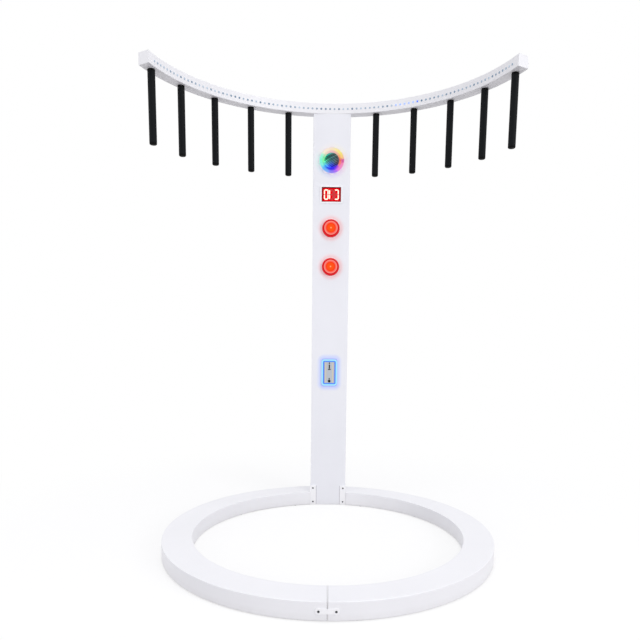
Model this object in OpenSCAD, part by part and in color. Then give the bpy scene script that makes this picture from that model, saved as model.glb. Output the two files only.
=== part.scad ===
// Reaction stick arcade game.
// A ring base in two halves carries a rear column. A curved beam on top holds ten sticks on
// electromagnets, and the player inside the ring catches the stick that drops.
// X points right, Y points to the back and Z up. The origin is the middle of the ring on the floor.
// All sizes are in millimetres.

/* [Base ring] */
// Outer radius of the ring
ring_outer_r = 800; // [640:5:960]
// Width of the ring from inner wall to outer wall
ring_w = 142; // [120:1:180]
// Height of the ring's top above the floor
ring_top = 80; // [60:1:100]
// Thickness of the ring's sheet
ring_sheet = 3; // [2:0.5:4]
// Width of the lips folded under the ring
ring_lip = 26; // [24:1:36]
// Thickness of the rubber feet
foot_t = 3; // [3:0.5:8]
// Radius of the rubber feet
foot_r = 8; // [6:0.5:9]
// Gap at the front seam between the two halves
seam_gap = 2; // [0.5:0.5:4]

/* [Column] */
// Width of the column
column_w = 208; // [180:1:250]
// Depth of the column
column_d = 142; // [130:1:180]
// Height of the column's top above the floor
column_top = 2239; // [1950:1:2700]
// Thickness of the column's sheet
sheet = 2; // [1.5:0.5:3]
// Thickness of the column's top plate
top_plate_t = 6; // [4:1:12]

/* [Foot brackets] */
// Thickness of the angle brackets
bracket_t = 4; // [3:0.5:6]
// Height of the angle brackets' top above the floor
bracket_top = 120; // [100:1:150]
// Length of the leg on the column's front
bracket_front = 32; // [24:1:40]
// Length of the leg along the column's side
bracket_side = 70; // [50:1:90]

/* [Beam] */
// Radius of the beam's inner face
beam_r = 850; // [700:5:1020]
// Width of the beam from inner face to outer face
beam_w = 61; // [60:1:80]
// Height of the beam
beam_h = 53.5; // [50:0.5:70]
// Half of the angle that the beam spans
beam_half_angle = 76.5; // [75:0.1:84]
// Angle by which the beam's ends are cut back, away from square
beam_end_slant = 18; // [0:1:24]
// Thickness of the end caps
cap_t = 2.5; // [2:0.5:5]
// Distance between neighbouring light dots
led_pitch = 24.4; // [24:0.1:30]
// Radius of a light dot
led_r = 5; // [2.5:0.25:6]

/* [Sticks] */
// Diameter of a stick
stick_d = 35; // [28:1:38]
// Length of a stick
stick_len = 331; // [250:1:400]
// Angle of the first stick from the middle of the beam
stick_first_angle = 16; // [14:0.1:18]
// Angle between neighbouring sticks
stick_step_angle = 14; // [12:0.1:14.5]
// Diameter of the steel disc in a stick's top
stick_head_d = 25; // [20:1:26]

/* [Push buttons] */
// Diameter of the button bases
button_d = 100; // [90:1:120]
// Height of the upper button above the floor
button_upper_z = 1624; // [1560:1:1680]
// Height of the lower button above the floor
button_lower_z = 1410; // [1300:1:1450]
// Travel of the push buttons
button_travel = 4.5; // [3:0.5:5]

/* [Speaker] */
// Height of the speaker above the floor
speaker_z = 1991; // [1950:1:2050]
// Diameter of the speaker grille
grille_d = 83; // [70:1:84]
// Diameter over the petals of the light ring
light_ring_d = 148; // [140:1:160]
// Number of petals on the light ring
petals = 12; // [8:1:16]

/* [Score display] */
// Height of the display above the floor
display_z = 1809; // [1780:1:1840]
// Width of the display window that shows
window_w = 109; // [100:1:115]
// Height of the display window that shows
window_h = 80; // [70:1:84]
// Width of the pale frame round the window
bezel_border = 9; // [6:0.5:12]

/* [Coin unit] */
// Height of the coin plate's middle above the floor
coin_z = 804; // [780:1:860]
// Width of the coin plate
coin_w = 61; // [56:1:66]
// Height of the coin plate
coin_h = 123; // [118:1:130]
// Width of the lit frame at the coin plate's sides
coin_border = 16; // [12:0.5:22]
// Width of the lit frame above and below the coin plate
coin_border_end = 20; // [12:0.5:24]

/* [Service door] */
// Height of the door's lower edge above the floor
door_bottom = 150; // [140:1:180]
// Height of the door
door_h = 900; // [800:10:910]

/* [Hidden] */
$fn = 64;
eps = 0.01;
seat_gap = 0.3;
slide_gap = 0.08;

ring_inner_r = ring_outer_r - ring_w;
column_front = ring_inner_r;
column_rear = column_front + column_d;
bracket_gap = seat_gap;
ring_end_x = column_w / 2 + bracket_t + bracket_gap;
rear_reach = 5.5;

beam_cy = column_front - beam_r;
beam_z = column_top;
beam_mid_r = beam_r + beam_w / 2;
beam_outer_r = beam_r + beam_w;
// Length of the slanted end from the inner face to the outer face
beam_end_off = beam_r * sin(beam_end_slant);
beam_end_w = sqrt(beam_outer_r ^ 2 - beam_end_off ^ 2) - beam_r * cos(beam_end_slant);
cover_gap = 0.15;
led_z = beam_z + 0.46 * beam_h;
led_end_margin = 40;
led_angle = led_pitch / beam_r * 180 / PI;
led_half = floor((beam_half_angle - led_end_margin / beam_r * 180 / PI) / led_angle - 0.5);
led_hole_gap = 0.15;
led_body_l = 9;
led_collar = 2;
led_proud = 0.9;

magnet_r = 12.5;
magnet_l = 20;
pole_proud = 0.5;
stick_count_side = 5;
stick_z = beam_z - pole_proud;
head_t = 4;
head_proud = 0.5;
sleeve_top = stick_z - head_proud;

panel_gap = 0.3;
panel_half = column_w / 2 - 14;
window_half = panel_half - 14;
door_top = door_bottom + door_h;
upper_panel_bottom = door_top + 10;
floor_t = 4;
shelf_z = 480;
door_fold = 10;
upper_panel_top = column_top - 12;
inlet_panel_bottom = foot_t + 20;
inlet_panel_top = door_bottom - 10;
land = 15;
weld_gap = 0.05;
hinge_r = 2.75;
hinge_pin_r = 1.25;
hinge_leaf_t = 1.2;
hinge_h = 60;
hinge_x = -panel_half + panel_gap / 2;
hinge_y = column_rear + hinge_r;
hinge_inset = 110;
lock_x = panel_half - 35;
lock_z = door_bottom + door_h / 2;
lock_r = 9.5;
plug_r = 7.1;

screw_head_r = 4.5;
screw_head_h = 2.5;
screw_r = 2.4;
screw_gap = 0.2;
bolt_r = 4;
bolt_hole_r = bolt_r + screw_gap;
bracket_bolt_y = [22, 52];
beam_bolt_r = 5;
beam_bolt_hole_r = beam_bolt_r + 0.3;
beam_bolt_x = 70;
beam_bolt_y = [23, 43];
cover_screw_r = 1.4;
cover_screw_hole_r = 1.6;
cover_screw_angle = 17;
rear_screw_r = 1.9;
rear_screw_hole_r = 2.1;
rear_screw_inset = 7;
rear_screw_end = 20;
over = 10;
foot_inset = ring_lip - foot_r - 2;
foot_first_angle = 8;
foot_step_angle = 31;
foot_count = 6;
column_foot_inset = 24;
join_t = 3;
join_screw_x = 33;
join_end_r = 13;
join_strap_h = 20;
join_screw_angle = join_screw_x / ring_outer_r * 180 / PI;
join_z = 42;
join_gap = 0.05;

inlet_z = 76;
rocker_z = inlet_z + 29;
rocker_tilt = 9;

white = [0.93, 0.93, 0.95];
black = [0.06, 0.06, 0.06];
steel = [0.62, 0.64, 0.66];
red = [0.85, 0.1, 0.08];

// Placing helpers

// Local Z points from the column's front face to the player, and local Y points up.
module on_front(z) {
    translate([0, column_front, z]) rotate([90, 0, 0]) children();
}

// Local Y points outwards from the beam's centre, and local X runs along the beam.
module on_beam(a, r) {
    translate([0, beam_cy, 0]) rotate([0, 0, -a]) translate([0, r, 0]) children();
}

// Local Z points outwards from the ring's centre, at an angle from the front seam.
module on_ring(a, r, z) {
    rotate([0, 0, a - 90]) translate([r, 0, z]) rotate([0, 90, 0]) children();
}

// Angle of a stick, counted from the left end of the beam
function stick_angle(i) =
    i <= stick_count_side
    ? -(stick_first_angle + (stick_count_side - i) * stick_step_angle)
    : stick_first_angle + (i - stick_count_side - 1) * stick_step_angle;

// The slanted right end of the beam: local Y runs outwards along it from the inner edge
module at_beam_end() {
    on_beam(beam_half_angle, beam_r) translate([0, 0, beam_z]) rotate([0, 0, beam_end_slant])
        children();
}

// Sweeps a cross-section along the beam's arc and cuts both ends off at their slant
module beam_sweep() {
    half = beam_half_angle + 2;
    difference() {
        translate([0, beam_cy, 0]) rotate([0, 0, 90 - half])
            rotate_extrude(angle = 2 * half, $fn = 180) children();
        for (side = [0, 1]) mirror([side, 0, 0])
            at_beam_end() translate([0, -over, -over]) cube([beam_w, 2 * beam_w, beam_h + 2 * over]);
    }
}

// Rounded rectangle, drawn with true arcs
module rounded(w, h, r) {
    square([w - 2 * r, h], center = true);
    square([w, h - 2 * r], center = true);
    for (x = [-1, 1], y = [-1, 1])
        translate([x * (w / 2 - r), y * (h / 2 - r)]) circle(r = r);
}

// A pan head that rests on z = 0, with a shank that runs down
module pan_head(shank_l, shank_r, head_r, head_h) {
    rotate_extrude($fn = 32)
        polygon([
            [0, -shank_l], [shank_r, -shank_l], [shank_r, 0], [head_r, 0],
            [head_r, head_h * 0.5], [head_r * 0.7, head_h], [0, head_h]
        ]);
}

// Screw with a cross in its head
module screw(shank_l, shank_r = screw_r, head_r = screw_head_r, head_h = screw_head_h) {
    difference() {
        pan_head(shank_l, shank_r, head_r, head_h);
        translate([0, 0, head_h]) for (a = [45, 135])
            rotate(a) cube([head_r * 1.1, head_r * 0.28, head_h], center = true);
    }
}

// Bolt with a hexagon socket in its head
module bolt(shank_l, shank_r, head_r, head_h) {
    difference() {
        pan_head(shank_l, shank_r, head_r, head_h);
        translate([0, 0, head_h * 0.4]) cylinder(r = head_r * 0.45, h = head_h, $fn = 6);
    }
}

// Base ring

module ring_band(r0, r1, z0, z1) {
    rotate_extrude($fn = 180) translate([r0, z0]) square([r1 - r0, z1 - z0]);
}

// The space of the right half, drawn in from the seam and from the column by an inset
module half_space(inset) {
    reach = ring_outer_r + 50;
    translate([seam_gap / 2 + inset, -reach, -10]) cube([reach, reach, ring_top + 20]);
    translate([ring_end_x + inset, -eps, -10]) cube([reach, reach, ring_top + 20]);
}

module bracket_bolt_places() {
    for (y = bracket_bolt_y)
        translate([0, column_front + y, 0.5 * (foot_t + ring_top)]) children();
}

module base_half() {
    r0 = ring_inner_r;
    r1 = ring_outer_r;
    t = ring_sheet;
    difference() {
        intersection() {
            rotate_extrude($fn = 180) translate([(r0 + r1) / 2, (foot_t + ring_top) / 2])
                rounded(ring_w, ring_top - foot_t, t);
            half_space(0);
        }
        intersection() {
            union() {
                ring_band(r0 + t, r1 - t, foot_t + t, ring_top - t);
                ring_band(r0 + ring_lip, r1 - ring_lip, foot_t - 1, foot_t + t + 1);
            }
            half_space(t);
        }
        bracket_bolt_places() rotate([0, 90, 0]) cylinder(r = bolt_hole_r, h = column_w);
        on_ring(join_screw_angle, r1 - 20, join_z) cylinder(r = screw_r + screw_gap, h = 40);
        // room for the joining plate behind the seam
        bent_strip(r1 - t - join_t - seat_gap, r1 - t + eps, seat_gap);
    }
}

module base_half_right() {
    color(white) base_half();
}

module base_half_left() {
    color(white) mirror([1, 0, 0]) base_half();
}

module base_feet() {
    color(black) {
        radii = [ring_inner_r + foot_inset, ring_outer_r - foot_inset];
        for (side = [-1, 1], i = [0 : foot_count - 1], r = radii)
            rotate([0, 0, side * (foot_first_angle + i * foot_step_angle) - 90])
                translate([r, 0, 0]) cylinder(r = foot_r, h = foot_t);
        for (x = [-1, 1], y = [column_foot_inset, column_d - column_foot_inset])
            translate([x * (column_w / 2 - column_foot_inset), column_front + y, 0])
                cylinder(r = foot_r, h = foot_t);
    }
}

// A strap with wider round ends, bent to the ring's wall, between two radii
module bent_strip(r0, r1, grow = 0) {
    intersection() {
        ring_band(r0, r1, 0, ring_top);
        translate([0, 0, join_z]) rotate([90, 0, 0]) linear_extrude(ring_outer_r + 50) {
            square([2 * join_screw_x, join_strap_h + 2 * grow], center = true);
            for (s = [-1, 1])
                translate([s * join_screw_x, 0]) circle(r = join_end_r + grow);
        }
    }
}

module base_joining_plates() {
    color(white) difference() {
        union() {
            bent_strip(ring_outer_r + join_gap, ring_outer_r + join_t);
            bent_strip(ring_outer_r - ring_sheet - join_t, ring_outer_r - ring_sheet - join_gap);
        }
        for (s = [-1, 1])
            on_ring(s * join_screw_angle, ring_outer_r - 20, join_z)
                cylinder(r = screw_r + screw_gap, h = 40);
    }
}

// Foot brackets

bracket_screw_x = column_w / 2 - 14;
bracket_screw_z = [bracket_top - 15, foot_t + 18];

module foot_bracket() {
    x0 = column_w / 2;
    z0 = foot_t;
    h = bracket_top - foot_t;
    difference() {
        union() {
            translate([x0 - bracket_front, column_front - bracket_t, z0])
                cube([bracket_front + bracket_t, bracket_t, h]);
            translate([x0, column_front - bracket_t, z0])
                cube([bracket_t, bracket_side + bracket_t, h]);
        }
        for (z = bracket_screw_z)
            translate([bracket_screw_x, column_front + 1, z]) rotate([90, 0, 0])
                cylinder(r = screw_r + screw_gap, h = bracket_t + 2);
        bracket_bolt_places() rotate([0, 90, 0]) cylinder(r = bolt_hole_r, h = column_w);
    }
}

module foot_brackets() {
    color(white) {
        foot_bracket();
        mirror([1, 0, 0]) foot_bracket();
    }
}

// Fasteners: screws, bolts with their nuts, studs of the speaker and nuts of the buttons

module beam_bolt_places() {
    for (x = [-beam_bolt_x, beam_bolt_x], y = beam_bolt_y)
        translate([x, column_front + y, 0]) children();
}

// Screws down both edges of a rear panel
module panel_screw_places(z0, z1, count) {
    step = (z1 - z0 - 2 * rear_screw_end) / (count - 1);
    for (x = [-1, 1], i = [0 : count - 1])
        translate([x * (panel_half - rear_screw_inset), column_rear, z0 + rear_screw_end + i * step])
            rotate([-90, 0, 0]) children();
}

module speaker_stud_places() {
    for (a = [45 : 90 : 315])
        on_front(speaker_z) rotate([0, 0, a]) translate([speaker_stud_ring, 0, 0]) children();
}

module cover_screw_places() {
    for (i = [-4 : 4])
        translate([0, beam_cy, beam_z + beam_h - 6]) rotate([0, 0, -i * cover_screw_angle])
            translate([0, beam_outer_r + join_gap, 0]) rotate([-90, 0, 0]) children();
}

module inlet_screw_places() {
    for (x = [-inlet_screw_x, inlet_screw_x])
        translate([x, column_rear + inlet_flange_t, inlet_z + inlet_screw_dz]) rotate([-90, 0, 0])
            children();
}

module fasteners() {
    color([0.2, 0.2, 0.22]) {
        for (x = [-1, 1], z = bracket_screw_z)
            translate([x * bracket_screw_x, column_front - bracket_t, z]) rotate([90, 0, 0])
                screw(bracket_t + sheet + 4);
        for (side = [0, 1]) mirror([side, 0, 0])
            bracket_bolt_places() translate([column_w / 2 - sheet, 0, 0]) {
                rotate([0, -90, 0])
                    bolt(sheet + bracket_t + bracket_gap + ring_sheet + 10, bolt_r, 7, 5);
                translate([sheet + bracket_t + bracket_gap + ring_sheet, 0, 0]) rotate([0, 90, 0])
                    difference() {
                        cylinder(r = 7.5, h = 6.5, $fn = 6);
                        translate([0, 0, -1]) cylinder(r = bolt_r + join_gap, h = 9);
                    }
            }
        for (s = [-1, 1])
            on_ring(s * join_screw_angle, ring_outer_r + join_t + join_gap, join_z)
                screw(join_t * 2 + ring_sheet + 4, screw_r, screw_head_r, rear_reach - join_t - join_gap);
        beam_bolt_places() translate([0, 0, beam_z + sheet]) {
            bolt(sheet + top_plate_t + 14, beam_bolt_r, 8.5, 6);
            translate([0, 0, -sheet - top_plate_t - 8]) difference() {
                cylinder(r = 9.5, h = 8, $fn = 6);
                translate([0, 0, -1]) cylinder(r = beam_bolt_r + join_gap, h = 10);
            }
        }
        panel_screw_places(upper_panel_bottom, upper_panel_top, 4) rear_screw();
        panel_screw_places(inlet_panel_bottom, inlet_panel_top, 2) rear_screw();
        cover_screw_places() screw(2 * sheet + 3, cover_screw_r, 2.8, 1.6);
        speaker_stud_places() translate([0, 0, -12]) cylinder(r = speaker_stud_r, h = 17);
        on_front(coin_z + coin_screw_dz) translate([0, 0, coin_face_z])
            screw(coin_face_z + sheet + 5, coin_screw_r, 4, 1.8);
        inlet_screw_places() screw(inlet_flange_t + sheet + 3, cover_screw_r, 2.9, 1.6);
        button_nuts();
    }
}

module rear_screw() {
    screw(2 * sheet + 3, rear_screw_r, 3.8, 2);
}

// Big nuts on the buttons' threaded stems, against the back of the column's front plate
module button_nuts() {
    for (z = [button_upper_z, button_lower_z]) on_front(z)
        translate([0, 0, -sheet - 6]) difference() {
            cylinder(r = 20, h = 6, $fn = 6);
            translate([0, 0, -1]) cylinder(r = stem_r + join_gap, h = 8);
        }
}

// Column

// The column is put together from separate sheets: front plate, two side sheets with rear flanges,
// rear rails, bottom plate, top plate and the shelf of the coin box. The sheets butt against each
// other at welds.
module column_shell() {
    color(white) {
        column_front_plate();
        for (side = [0, 1]) mirror([side, 0, 0]) column_side();
        rear_rail(foot_t, inlet_panel_bottom);
        rear_rail(inlet_panel_top, door_bottom);
        rear_rail(door_top, upper_panel_bottom);
        rear_rail(upper_panel_top, column_top);
        column_floor(foot_t, floor_t);
        column_floor(shelf_z - sheet, sheet, door_fold);
        difference() {
            column_floor(column_top - top_plate_t, top_plate_t);
            beam_bolt_places() translate([0, 0, column_top - 2 * over])
                cylinder(r = beam_bolt_hole_r, h = 3 * over);
        }
    }
}

module column_front_plate() {
    difference() {
        translate([0, column_front, foot_t]) linear_extrude(column_top - foot_t) intersection() {
            translate([-column_w / 2, 0]) square([column_w, sheet]);
            union() {
                translate([-column_w / 2 + sheet, 0]) square([column_w - 2 * sheet, sheet]);
                for (s = [-1, 1])
                    translate([s * (column_w / 2 - sheet), sheet]) circle(r = sheet);
            }
        }
        on_front(speaker_z) cylinder(r = grille_d / 2 + 1.5, h = 2 * over, center = true);
        speaker_stud_places() cylinder(r = speaker_stud_hole_r, h = 2 * over, center = true);
        on_front(display_z) translate([0, 0, -over]) linear_extrude(2 * over)
            rounded(window_w + 4, window_h + 4, 2);
        for (z = [button_upper_z, button_lower_z])
            on_front(z) cylinder(r = stem_r + seat_gap, h = 2 * over, center = true);
        on_front(coin_z) translate([0, 0, -over]) linear_extrude(2 * over)
            rounded(coin_w + 1, coin_h + 1, 2);
        for (x = [-1, 1], z = bracket_screw_z)
            translate([x * bracket_screw_x, column_front, z]) rotate([90, 0, 0])
                cylinder(r = screw_r + screw_gap, h = 2 * over, center = true);
    }
}

// Side sheet on the right, with the rear flange that the panels and the door lie in
module column_side() {
    x0 = column_w / 2 - sheet;
    x1 = column_w / 2;
    y0 = column_front + sheet + weld_gap;
    y1 = column_rear;
    difference() {
        translate([0, 0, foot_t]) linear_extrude(column_top - foot_t) polygon([
            [x1, y0], [x1, y1], [panel_half, y1], [panel_half, y1 - sheet],
            [window_half, y1 - sheet], [window_half, y1 - 2 * sheet], [x0, y1 - 2 * sheet], [x0, y0]
        ]);
        bracket_bolt_places() rotate([0, 90, 0]) cylinder(r = bolt_hole_r, h = column_w);
        panel_screw_places(upper_panel_bottom, upper_panel_top, 4) rear_screw_hole();
        panel_screw_places(inlet_panel_bottom, inlet_panel_top, 2) rear_screw_hole();
    }
}

// Rail across the back between two panels, whose inner layer reaches behind them
module rear_rail(z0, z1) {
    low = max(foot_t, z0 - land);
    high = min(column_top, z1 + land);
    outer_half = panel_half - weld_gap;
    inner_half = window_half - weld_gap;
    outer_y = column_rear - sheet + weld_gap;
    inner_y = column_rear - 2 * sheet;
    translate([-outer_half, outer_y, z0]) cube([2 * outer_half, sheet - weld_gap, z1 - z0]);
    translate([-inner_half, inner_y, z0]) cube([2 * inner_half, 2 * sheet, z1 - z0]);
    translate([-inner_half, inner_y, low]) cube([2 * inner_half, sheet, high - low]);
}

// Plate across the inside of the column, such as its bottom, its top or the shelf. It ends short of
// the rear rails, or further off by a given distance.
module column_floor(z, t, short = 0) {
    w = column_w - 2 * (sheet + weld_gap);
    translate([-w / 2, column_front + sheet + weld_gap, z])
        cube([w, column_d - 3 * sheet - 2 * weld_gap - short, t]);
}

module rear_screw_hole() {
    cylinder(r = rear_screw_hole_r, h = 2 * over, center = true);
}

// A flat panel between the rear flanges, with its screw holes
module rear_plate(z0, z1, screws) {
    w = 2 * (panel_half - panel_gap);
    difference() {
        translate([-w / 2, column_rear - sheet, z0 + panel_gap]) cube([w, sheet, z1 - z0 - 2 * panel_gap]);
        panel_screw_places(z0, z1, screws) rear_screw_hole();
    }
}

module rear_panel() {
    color(white) difference() {
        rear_plate(upper_panel_bottom, upper_panel_top, 4);
        for (z0 = [upper_panel_bottom + 60, upper_panel_top - 150], i = [0 : 6])
            translate([0, column_rear + 1, z0 + i * 13]) rotate([90, 0, 0])
                linear_extrude(sheet + 2) rounded(90, 4, 1.9);
    }
}

// Lower panel, which carries the mains inlet
module inlet_panel() {
    color(white) difference() {
        rear_plate(inlet_panel_bottom, inlet_panel_top, 2);
        translate([-inlet_body_w / 2 - 0.2, column_rear - over, inlet_z - 15.2])
            cube([inlet_body_w + 0.4, 2 * over, inlet_body_h + 0.4]);
        inlet_screw_places() cylinder(r = cover_screw_hole_r, h = 2 * over, center = true);
    }
}

// Service door with its stiffening fold and the swinging hinge leaves

module hinge_places() {
    for (z = [door_bottom + hinge_inset, door_top - hinge_inset])
        translate([hinge_x, hinge_y, z]) children();
}

module service_door() {
    w = 2 * (panel_half - panel_gap);
    fold_y = column_rear - sheet - door_fold;
    fold_x = window_half - 4;
    fold_z = land + 4;
    color(white) difference() {
        union() {
            translate([-w / 2, column_rear - sheet, door_bottom]) cube([w, sheet, door_h]);
            difference() {
                translate([-fold_x, fold_y, door_bottom + fold_z])
                    cube([2 * fold_x, door_fold + eps, door_h - 2 * fold_z]);
                translate([-fold_x + sheet, fold_y - 1, door_bottom + fold_z + sheet])
                    cube([2 * (fold_x - sheet), door_fold + 1, door_h - 2 * (fold_z + sheet)]);
                translate([lock_x, fold_y - 1, lock_z - 34])
                    cube([50, door_fold + 1, 68]);
            }
            hinge_places() {
                translate([3, -hinge_r - eps, -hinge_h / 2])
                    cube([10, hinge_leaf_t + eps, hinge_h]);
                translate([0, -hinge_r, -hinge_h / 6 + 0.2])
                    cube([4, hinge_leaf_t, hinge_h / 3 - 0.4]);
                translate([0, 0, -hinge_h / 6 + 0.2]) cylinder(r = hinge_r, h = hinge_h / 3 - 0.4);
            }
        }
        hinge_places() translate([0, 0, -hinge_h / 2 - 1])
            cylinder(r = hinge_pin_r + 0.05, h = hinge_h + 2);
        translate([lock_x, column_rear + 1, lock_z]) rotate([90, 0, 0])
            cylinder(r = lock_r + 0.15, h = sheet + 2);
    }
}

module door_hinges() {
    color(steel) hinge_places() {
        cylinder(r = hinge_pin_r, h = hinge_h, center = true);
        translate([-13, -hinge_r, -hinge_h / 2]) cube([10, hinge_leaf_t, hinge_h]);
        for (s = [-1, 1]) translate([0, 0, s * hinge_h / 3]) {
            cylinder(r = hinge_r, h = hinge_h / 3 - 0.01, center = true);
            translate([-4, -hinge_r, -hinge_h / 6]) cube([4, hinge_leaf_t, hinge_h / 3 - 0.01]);
        }
    }
}

// Cam lock: local Z points out of the door

module at_lock() {
    translate([lock_x, column_rear, lock_z]) rotate([-90, 0, 0]) children();
}

module lock_housing() {
    color(steel) at_lock() difference() {
        union() {
            translate([0, 0, -18]) cylinder(r = lock_r, h = 18);
            cylinder(r = lock_r + 2, h = 1.8);
            translate([0, 0, -sheet - 4]) cylinder(r = 14, h = 4, $fn = 6);
        }
        translate([0, 0, -30]) cylinder(r = plug_r + slide_gap, h = 60);
    }
}

module door_lock() {
    tip_x = window_half + 9 - lock_x;
    cam_back = -20.5;
    cam_tip = -2 * sheet - 0.5;
    // drawn unlocked, with the cam upright
    color(steel) at_lock() rotate([0, 0, -90]) difference() {
        union() {
            translate([0, 0, cam_back]) cylinder(r = plug_r, h = 23 - 0.5);
            translate([0, 6, 0]) rotate([90, 0, 0]) linear_extrude(12)
                polygon([
                    [-6, cam_back], [13, cam_back], [20, cam_tip - 2], [tip_x, cam_tip - 2],
                    [tip_x, cam_tip], [18, cam_tip], [11, cam_back + 2], [-6, cam_back + 2]
                ]);
        }
        translate([-0.9, -4, 0.5]) cube([1.8, 8, 3]);
    }
}

// Mains inlet module with a rocker switch

inlet_flange_t = 2.5;
inlet_body_w = 27;
inlet_body_h = 56;
inlet_screw_x = 20;
inlet_screw_dz = 14;

module power_inlet() {
    color(black) difference() {
        union() {
            translate([0, column_rear + inlet_flange_t, inlet_z + 13]) rotate([90, 0, 0])
                linear_extrude(inlet_flange_t) rounded(50, 62, 4);
            translate([-inlet_body_w / 2, column_rear - 30, inlet_z - 15])
                cube([inlet_body_w, 30 + eps, inlet_body_h]);
        }
        // socket, with three blades left standing
        difference() {
            translate([-12, column_rear + inlet_flange_t - 17, inlet_z - 8]) cube([24, 18, 17]);
            for (p = [[-7, -3.5], [0, -3.5], [7, -3.5]])
                translate([p[0] - 1, column_rear + inlet_flange_t - 18, inlet_z + p[1] - 2])
                    cube([2, 15, 4]);
        }
        // rocker well and its pivot bores
        translate([-9, column_rear + inlet_flange_t - 14, rocker_z - 11.5]) cube([18, 20, 23]);
        translate([-10.5, column_rear, rocker_z]) rotate([0, 90, 0])
            cylinder(r = 1.5 + 0.06, h = 21);
        inlet_screw_places() translate([0, 0, -over]) cylinder(r = cover_screw_hole_r, h = 2 * over);
    }
}

module power_rocker() {
    color(red) translate([0, column_rear, rocker_z]) rotate([rocker_tilt, 0, 0]) {
        rotate([90, 0, 90]) translate([0, 0, -8.6]) linear_extrude(17.2)
            polygon([[-6, -9.6], [-6, 9.6], [4.4, 10.6], [2.6, 0], [4.4, -10.6]]);
        rotate([0, 90, 0]) translate([0, 0, -10.2]) cylinder(r = 1.5, h = 20.4);
    }
}

// Electronics on the column's side walls

module control_board() {
    board_z = upper_panel_bottom + 60;
    board_h = 180;
    board_d = 100;
    x0 = -column_w / 2 + sheet;
    y0 = column_front + 18;
    color([0.1, 0.35, 0.2]) {
        difference() {
            translate([x0 + 8, y0, board_z]) cube([1.6, board_d, board_h]);
            for (y = [6, board_d - 6], z = [6, board_h - 6])
                translate([x0, y0 + y, board_z + z]) rotate([0, 90, 0]) cylinder(r = 1.6, h = 20);
        }
        for (y = [6, board_d - 6], z = [6, board_h - 6])
            translate([x0, y0 + y, board_z + z]) rotate([0, 90, 0]) {
                cylinder(r = 3, h = 8);
                cylinder(r = 1.5, h = 11);
            }
        // terminal blocks, chip and capacitors
        for (i = [0 : 4])
            translate([x0 + 9.6, y0 + 14, board_z + 14 + i * 31]) cube([10, 9, 26]);
        translate([x0 + 9.6, y0 + 44, board_z + 60]) cube([2.4, 24, 24]);
        for (i = [0 : 2])
            translate([x0 + 9.6, y0 + 78, board_z + 50 + i * 26]) rotate([0, 90, 0])
                cylinder(r = 6, h = 16);
    }
}

module power_supply() {
    x1 = column_w / 2 - sheet;
    size = [42, 98, 160];
    z0 = upper_panel_bottom + 60;
    y0 = column_front + 18;
    color(steel) difference() {
        translate([x1 - size[0], y0, z0]) cube(size);
        translate([x1 - size[0] - 1, y0 + 1.5, z0 - 1]) cube([size[0] - 8, size[1] - 3, 18]);
        for (y = [0 : 5], z = [0 : 8])
            translate([x1 - size[0] - 1, y0 + 14 + y * 14, z0 + 32 + z * 14]) rotate([0, 90, 0])
                cylinder(r = 3, h = 3, $fn = 24);
    }
}

// Beam

module beam_channel() {
    t = sheet;
    lip = 12;
    fold_r = sheet;
    color(white) difference() {
        beam_sweep() difference() {
            union() {
                translate([beam_r + fold_r, beam_z]) square([beam_w - t - fold_r, beam_h]);
                translate([beam_r, beam_z + fold_r]) square([fold_r + eps, beam_h - 2 * fold_r]);
                for (z = [fold_r, beam_h - fold_r])
                    translate([beam_r + fold_r, beam_z + z]) circle(r = fold_r);
            }
            translate([beam_r + t, beam_z + t]) square([beam_w - 3 * t, beam_h - 2 * t]);
            translate([beam_outer_r - 3 * t, beam_z + lip]) square([3 * t, beam_h - 2 * lip]);
        }
        led_places() translate([0, 0, -10]) cylinder(r = led_r + led_hole_gap, h = 20, $fn = 24);
        for (i = [1 : 2 * stick_count_side])
            on_beam(stick_angle(i), beam_mid_r)
                translate([0, 0, beam_z - 1]) cylinder(r = magnet_r + 0.3, h = t + 2);
        beam_bolt_places() translate([0, 0, beam_z - 1]) cylinder(r = beam_bolt_hole_r, h = t + 2);
        cover_screw_places() translate([0, 0, -over])
            cylinder(r = cover_screw_hole_r, h = 2 * over, $fn = 24);
    }
}

module beam_back_cover() {
    color(white) difference() {
        beam_sweep() translate([beam_outer_r - sheet + cover_gap, beam_z])
            square([sheet - cover_gap, beam_h]);
        cover_screw_places() translate([0, 0, -over])
            cylinder(r = cover_screw_hole_r, h = 2 * over, $fn = 24);
    }
}

module beam_end_caps() {
    color(white) for (side = [0, 1]) mirror([side, 0, 0])
        at_beam_end() cube([cap_t, beam_end_w, beam_h]);
}

// Light dots: local Z points from the beam's inner face to the player
module led_places() {
    for (i = [-led_half : led_half + 1])
        on_beam((i - 0.5) * led_angle, beam_r) translate([0, 0, led_z]) rotate([90, 0, 0])
            children();
}

// Each light is a round body behind the sheet, with a lens that stands out of its hole
module led_pixels() {
    back = sheet + seat_gap;
    color([0.85, 0.9, 0.98]) led_places() {
        translate([0, 0, -back - led_body_l]) cylinder(r = led_r + led_collar, h = led_body_l, $fn = 24);
        translate([0, 0, -back - 1]) cylinder(r = led_r, h = back + 1 + led_proud, $fn = 24);
        translate([0, 0, led_proud]) cylinder(r1 = led_r, r2 = led_r - led_proud, h = led_proud, $fn = 24);
    }
}

module electromagnets() {
    color(steel) for (i = [1 : 2 * stick_count_side])
        on_beam(stick_angle(i), beam_mid_r) translate([0, 0, beam_z]) {
            translate([0, 0, -pole_proud]) cylinder(r = magnet_r, h = magnet_l);
            translate([-9, 0, 0]) rotate([90, 0, 90]) linear_extrude(18) difference() {
                union() {
                    translate([-17, sheet]) square([34, magnet_l - pole_proud]);
                    translate([-25, sheet]) square([50, 2]);
                }
                translate([-15, 0]) square([30, magnet_l - pole_proud]);
            }
        }
}

// Sticks

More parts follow.
